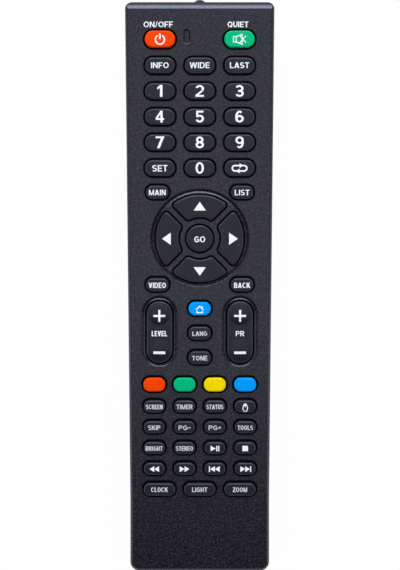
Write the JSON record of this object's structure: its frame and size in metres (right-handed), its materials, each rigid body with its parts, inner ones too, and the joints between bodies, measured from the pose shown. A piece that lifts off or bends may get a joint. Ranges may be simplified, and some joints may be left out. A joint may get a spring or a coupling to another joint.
{
  "type": "tv remote control",
  "caption": "Slim hand-held infrared remote control with a rubber keypad, cursor ring, two rocker keys, coloured keys and a sliding battery door.",
  "frame": {"origin": "middle of the flat back, on the plane that the remote lies on", "axes": "+Z out of the keys, +Y towards the head end with the infrared diode, +X to the right when the keys are read"},
  "size_m": [0.0528, 0.2035, 0.0223],
  "materials": {
    "casing_plastic": "fine spark-eroded grain, satin",
    "key_rubber": "soft-touch silicone, satin",
    "red_rubber": "coloured silicone, satin",
    "green_rubber": "coloured silicone, satin",
    "blue_rubber": "coloured silicone, satin",
    "yellow_rubber": "coloured silicone, satin",
    "mat_rubber": "plain silicone",
    "board_laminate": "green solder mask",
    "component_plastic": "moulded epoxy",
    "diode_resin": "clear tinted resin",
    "window_plastic": "dark tinted lens",
    "screw_steel": "zinc plated",
    "contact_steel": "nickel plated spring steel",
    "cell_jacket": "printed jacket, plain"
  },
  "bodies": {
    "root": {"front_cover": "casing_plastic", "rear_cover": "casing_plastic", "keypad_mat": "mat_rubber", "circuit_board": "board_laminate", "board_components": "component_plastic", "infrared_led": "diode_resin", "indicator_window": "window_plastic", "board_screws": "screw_steel", "battery_contacts": "contact_steel", "batteries": "cell_jacket"},
    "battery_door": {"battery_door": "casing_plastic"},
    "info_key": {"info_key": "key_rubber"},
    "mode_key": {"mode_key": "key_rubber"},
    "recall_key": {"recall_key": "key_rubber"},
    "digit_0_key": {"digit_0_key": "key_rubber"},
    "digit_1_key": {"digit_1_key": "key_rubber"},
    "digit_2_key": {"digit_2_key": "key_rubber"},
    "digit_3_key": {"digit_3_key": "key_rubber"},
    "digit_4_key": {"digit_4_key": "key_rubber"},
    "digit_5_key": {"digit_5_key": "key_rubber"},
    "digit_6_key": {"digit_6_key": "key_rubber"},
    "digit_7_key": {"digit_7_key": "key_rubber"},
    "digit_8_key": {"digit_8_key": "key_rubber"},
    "digit_9_key": {"digit_9_key": "key_rubber"},
    "set_key": {"set_key": "key_rubber"},
    "swap_key": {"swap_key": "key_rubber"},
    "menu_key": {"menu_key": "key_rubber"},
    "channels_key": {"channels_key": "key_rubber"},
    "video_key": {"video_key": "key_rubber"},
    "back_key": {"back_key": "key_rubber"},
    "language_key": {"language_key": "key_rubber"},
    "sound_key": {"sound_key": "key_rubber"},
    "up_key": {"up_key": "key_rubber"},
    "left_key": {"left_key": "key_rubber"},
    "down_key": {"down_key": "key_rubber"},
    "right_key": {"right_key": "key_rubber"},
    "ok_key": {"ok_key": "key_rubber"},
    "screen_key": {"screen_key": "key_rubber"},
    "timer_key": {"timer_key": "key_rubber"},
    "status_key": {"status_key": "key_rubber"},
    "pointer_key": {"pointer_key": "key_rubber"},
    "skip_key": {"skip_key": "key_rubber"},
    "page_back_key": {"page_back_key": "key_rubber"},
    "page_next_key": {"page_next_key": "key_rubber"},
    "tools_key": {"tools_key": "key_rubber"},
    "bright_key": {"bright_key": "key_rubber"},
    "stereo_key": {"stereo_key": "key_rubber"},
    "play_pause_key": {"play_pause_key": "key_rubber"},
    "stop_key": {"stop_key": "key_rubber"},
    "playback_keys": {"playback_keys": "key_rubber"},
    "service_keys": {"service_keys": "key_rubber"},
    "power_key": {"power_key": "red_rubber"},
    "red_key": {"red_key": "red_rubber"},
    "mute_key": {"mute_key": "green_rubber"},
    "green_key": {"green_key": "green_rubber"},
    "home_key": {"home_key": "blue_rubber"},
    "blue_key": {"blue_key": "blue_rubber"},
    "yellow_key": {"yellow_key": "yellow_rubber"},
    "volume_rocker": {"volume_rocker": "key_rubber"},
    "channel_rocker": {"channel_rocker": "key_rubber"}
  },
  "joints": [
    {"name": "battery_door_slide", "type": "slide", "parent": "root", "child": "battery_door", "axis": [0, -1, 0], "range_m": [0, 0.06]},
    {"name": "info_key_press", "type": "slide", "parent": "root", "child": "info_key", "axis": [0, 0, -1], "range_m": [0, 0.0012], "stiffness_N_per_m": 800, "springref_m": -0.0003},
    {"name": "mode_key_press", "type": "slide", "parent": "root", "child": "mode_key", "axis": [0, 0, -1], "range_m": [0, 0.0012], "stiffness_N_per_m": 800, "springref_m": -0.0003},
    {"name": "recall_key_press", "type": "slide", "parent": "root", "child": "recall_key", "axis": [0, 0, -1], "range_m": [0, 0.0012], "stiffness_N_per_m": 800, "springref_m": -0.0003},
    {"name": "digit_0_key_press", "type": "slide", "parent": "root", "child": "digit_0_key", "axis": [0, 0, -1], "range_m": [0, 0.0012], "stiffness_N_per_m": 800, "springref_m": -0.0003},
    {"name": "digit_1_key_press", "type": "slide", "parent": "root", "child": "digit_1_key", "axis": [0, 0, -1], "range_m": [0, 0.0012], "stiffness_N_per_m": 800, "springref_m": -0.0003},
    {"name": "digit_2_key_press", "type": "slide", "parent": "root", "child": "digit_2_key", "axis": [0, 0, -1], "range_m": [0, 0.0012], "stiffness_N_per_m": 800, "springref_m": -0.0003},
    {"name": "digit_3_key_press", "type": "slide", "parent": "root", "child": "digit_3_key", "axis": [0, 0, -1], "range_m": [0, 0.0012], "stiffness_N_per_m": 800, "springref_m": -0.0003},
    {"name": "digit_4_key_press", "type": "slide", "parent": "root", "child": "digit_4_key", "axis": [0, 0, -1], "range_m": [0, 0.0012], "stiffness_N_per_m": 800, "springref_m": -0.0003},
    {"name": "digit_5_key_press", "type": "slide", "parent": "root", "child": "digit_5_key", "axis": [0, 0, -1], "range_m": [0, 0.0012], "stiffness_N_per_m": 800, "springref_m": -0.0003},
    {"name": "digit_6_key_press", "type": "slide", "parent": "root", "child": "digit_6_key", "axis": [0, 0, -1], "range_m": [0, 0.0012], "stiffness_N_per_m": 800, "springref_m": -0.0003},
    {"name": "digit_7_key_press", "type": "slide", "parent": "root", "child": "digit_7_key", "axis": [0, 0, -1], "range_m": [0, 0.0012], "stiffness_N_per_m": 800, "springref_m": -0.0003},
    {"name": "digit_8_key_press", "type": "slide", "parent": "root", "child": "digit_8_key", "axis": [0, 0, -1], "range_m": [0, 0.0012], "stiffness_N_per_m": 800, "springref_m": -0.0003},
    {"name": "digit_9_key_press", "type": "slide", "parent": "root", "child": "digit_9_key", "axis": [0, 0, -1], "range_m": [0, 0.0012], "stiffness_N_per_m": 800, "springref_m": -0.0003},
    {"name": "set_key_press", "type": "slide", "parent": "root", "child": "set_key", "axis": [0, 0, -1], "range_m": [0, 0.0012], "stiffness_N_per_m": 800, "springref_m": -0.0003},
    {"name": "swap_key_press", "type": "slide", "parent": "root", "child": "swap_key", "axis": [0, 0, -1], "range_m": [0, 0.0012], "stiffness_N_per_m": 800, "springref_m": -0.0003},
    {"name": "menu_key_press", "type": "slide", "parent": "root", "child": "menu_key", "axis": [0, 0, -1], "range_m": [0, 0.0012], "stiffness_N_per_m": 800, "springref_m": -0.0003},
    {"name": "channels_key_press", "type": "slide", "parent": "root", "child": "channels_key", "axis": [0, 0, -1], "range_m": [0, 0.0012], "stiffness_N_per_m": 800, "springref_m": -0.0003},
    {"name": "video_key_press", "type": "slide", "parent": "root", "child": "video_key", "axis": [0, 0, -1], "range_m": [0, 0.0012], "stiffness_N_per_m": 800, "springref_m": -0.0003},
    {"name": "back_key_press", "type": "slide", "parent": "root", "child": "back_key", "axis": [0, 0, -1], "range_m": [0, 0.0012], "stiffness_N_per_m": 800, "springref_m": -0.0003},
    {"name": "language_key_press", "type": "slide", "parent": "root", "child": "language_key", "axis": [0, 0, -1], "range_m": [0, 0.0012], "stiffness_N_per_m": 800, "springref_m": -0.0003},
    {"name": "sound_key_press", "type": "slide", "parent": "root", "child": "sound_key", "axis": [0, 0, -1], "range_m": [0, 0.0012], "stiffness_N_per_m": 800, "springref_m": -0.0003},
    {"name": "up_key_press", "type": "slide", "parent": "root", "child": "up_key", "axis": [0, 0, -1], "range_m": [0, 0.0012], "stiffness_N_per_m": 800, "springref_m": -0.0003},
    {"name": "left_key_press", "type": "slide", "parent": "root", "child": "left_key", "axis": [0, 0, -1], "range_m": [0, 0.0012], "stiffness_N_per_m": 800, "springref_m": -0.0003},
    {"name": "down_key_press", "type": "slide", "parent": "root", "child": "down_key", "axis": [0, 0, -1], "range_m": [0, 0.0012], "stiffness_N_per_m": 800, "springref_m": -0.0003},
    {"name": "right_key_press", "type": "slide", "parent": "root", "child": "right_key", "axis": [0, 0, -1], "range_m": [0, 0.0012], "stiffness_N_per_m": 800, "springref_m": -0.0003},
    {"name": "ok_key_press", "type": "slide", "parent": "root", "child": "ok_key", "axis": [0, 0, -1], "range_m": [0, 0.0012], "stiffness_N_per_m": 800, "springref_m": -0.0003},
    {"name": "screen_key_press", "type": "slide", "parent": "root", "child": "screen_key", "axis": [0, 0, -1], "range_m": [0, 0.0012], "stiffness_N_per_m": 800, "springref_m": -0.0003},
    {"name": "timer_key_press", "type": "slide", "parent": "root", "child": "timer_key", "axis": [0, 0, -1], "range_m": [0, 0.0012], "stiffness_N_per_m": 800, "springref_m": -0.0003},
    {"name": "status_key_press", "type": "slide", "parent": "root", "child": "status_key", "axis": [0, 0, -1], "range_m": [0, 0.0012], "stiffness_N_per_m": 800, "springref_m": -0.0003},
    {"name": "pointer_key_press", "type": "slide", "parent": "root", "child": "pointer_key", "axis": [0, 0, -1], "range_m": [0, 0.0012], "stiffness_N_per_m": 800, "springref_m": -0.0003},
    {"name": "skip_key_press", "type": "slide", "parent": "root", "child": "skip_key", "axis": [0, 0, -1], "range_m": [0, 0.0012], "stiffness_N_per_m": 800, "springref_m": -0.0003},
    {"name": "page_back_key_press", "type": "slide", "parent": "root", "child": "page_back_key", "axis": [0, 0, -1], "range_m": [0, 0.0012], "stiffness_N_per_m": 800, "springref_m": -0.0003},
    {"name": "page_next_key_press", "type": "slide", "parent": "root", "child": "page_next_key", "axis": [0, 0, -1], "range_m": [0, 0.0012], "stiffness_N_per_m": 800, "springref_m": -0.0003},
    {"name": "tools_key_press", "type": "slide", "parent": "root", "child": "tools_key", "axis": [0, 0, -1], "range_m": [0, 0.0012], "stiffness_N_per_m": 800, "springref_m": -0.0003},
    {"name": "bright_key_press", "type": "slide", "parent": "root", "child": "bright_key", "axis": [0, 0, -1], "range_m": [0, 0.0012], "stiffness_N_per_m": 800, "springref_m": -0.0003},
    {"name": "stereo_key_press", "type": "slide", "parent": "root", "child": "stereo_key", "axis": [0, 0, -1], "range_m": [0, 0.0012], "stiffness_N_per_m": 800, "springref_m": -0.0003},
    {"name": "play_pause_key_press", "type": "slide", "parent": "root", "child": "play_pause_key", "axis": [0, 0, -1], "range_m": [0, 0.0012], "stiffness_N_per_m": 800, "springref_m": -0.0003},
    {"name": "stop_key_press", "type": "slide", "parent": "root", "child": "stop_key", "axis": [0, 0, -1], "range_m": [0, 0.0012], "stiffness_N_per_m": 800, "springref_m": -0.0003},
    {"name": "playback_keys_press", "type": "slide", "parent": "root", "child": "playback_keys", "axis": [0, 0, -1], "range_m": [0, 0.0012], "stiffness_N_per_m": 800, "springref_m": -0.0003},
    {"name": "service_keys_press", "type": "slide", "parent": "root", "child": "service_keys", "axis": [0, 0, -1], "range_m": [0, 0.0012], "stiffness_N_per_m": 800, "springref_m": -0.0003},
    {"name": "power_key_press", "type": "slide", "parent": "root", "child": "power_key", "axis": [0, 0, -1], "range_m": [0, 0.0012], "stiffness_N_per_m": 800, "springref_m": -0.0003},
    {"name": "red_key_press", "type": "slide", "parent": "root", "child": "red_key", "axis": [0, 0, -1], "range_m": [0, 0.0012], "stiffness_N_per_m": 800, "springref_m": -0.0003},
    {"name": "mute_key_press", "type": "slide", "parent": "root", "child": "mute_key", "axis": [0, 0, -1], "range_m": [0, 0.0012], "stiffness_N_per_m": 800, "springref_m": -0.0003},
    {"name": "green_key_press", "type": "slide", "parent": "root", "child": "green_key", "axis": [0, 0, -1], "range_m": [0, 0.0012], "stiffness_N_per_m": 800, "springref_m": -0.0003},
    {"name": "home_key_press", "type": "slide", "parent": "root", "child": "home_key", "axis": [0, 0, -1], "range_m": [0, 0.0012], "stiffness_N_per_m": 800, "springref_m": -0.0003},
    {"name": "blue_key_press", "type": "slide", "parent": "root", "child": "blue_key", "axis": [0, 0, -1], "range_m": [0, 0.0012], "stiffness_N_per_m": 800, "springref_m": -0.0003},
    {"name": "yellow_key_press", "type": "slide", "parent": "root", "child": "yellow_key", "axis": [0, 0, -1], "range_m": [0, 0.0012], "stiffness_N_per_m": 800, "springref_m": -0.0003},
    {"name": "volume_rocker_tilt", "type": "hinge", "parent": "root", "child": "volume_rocker", "pos_m": [-0.0142, -0.016, 0.0201], "axis": [1, 0, 0], "range_deg": [-4, 4], "stiffness_Nm_per_rad": 0.12},
    {"name": "channel_rocker_tilt", "type": "hinge", "parent": "root", "child": "channel_rocker", "pos_m": [0.0142, -0.016, 0.0201], "axis": [1, 0, 0], "range_deg": [-4, 4], "stiffness_Nm_per_rad": 0.12}
  ]
}
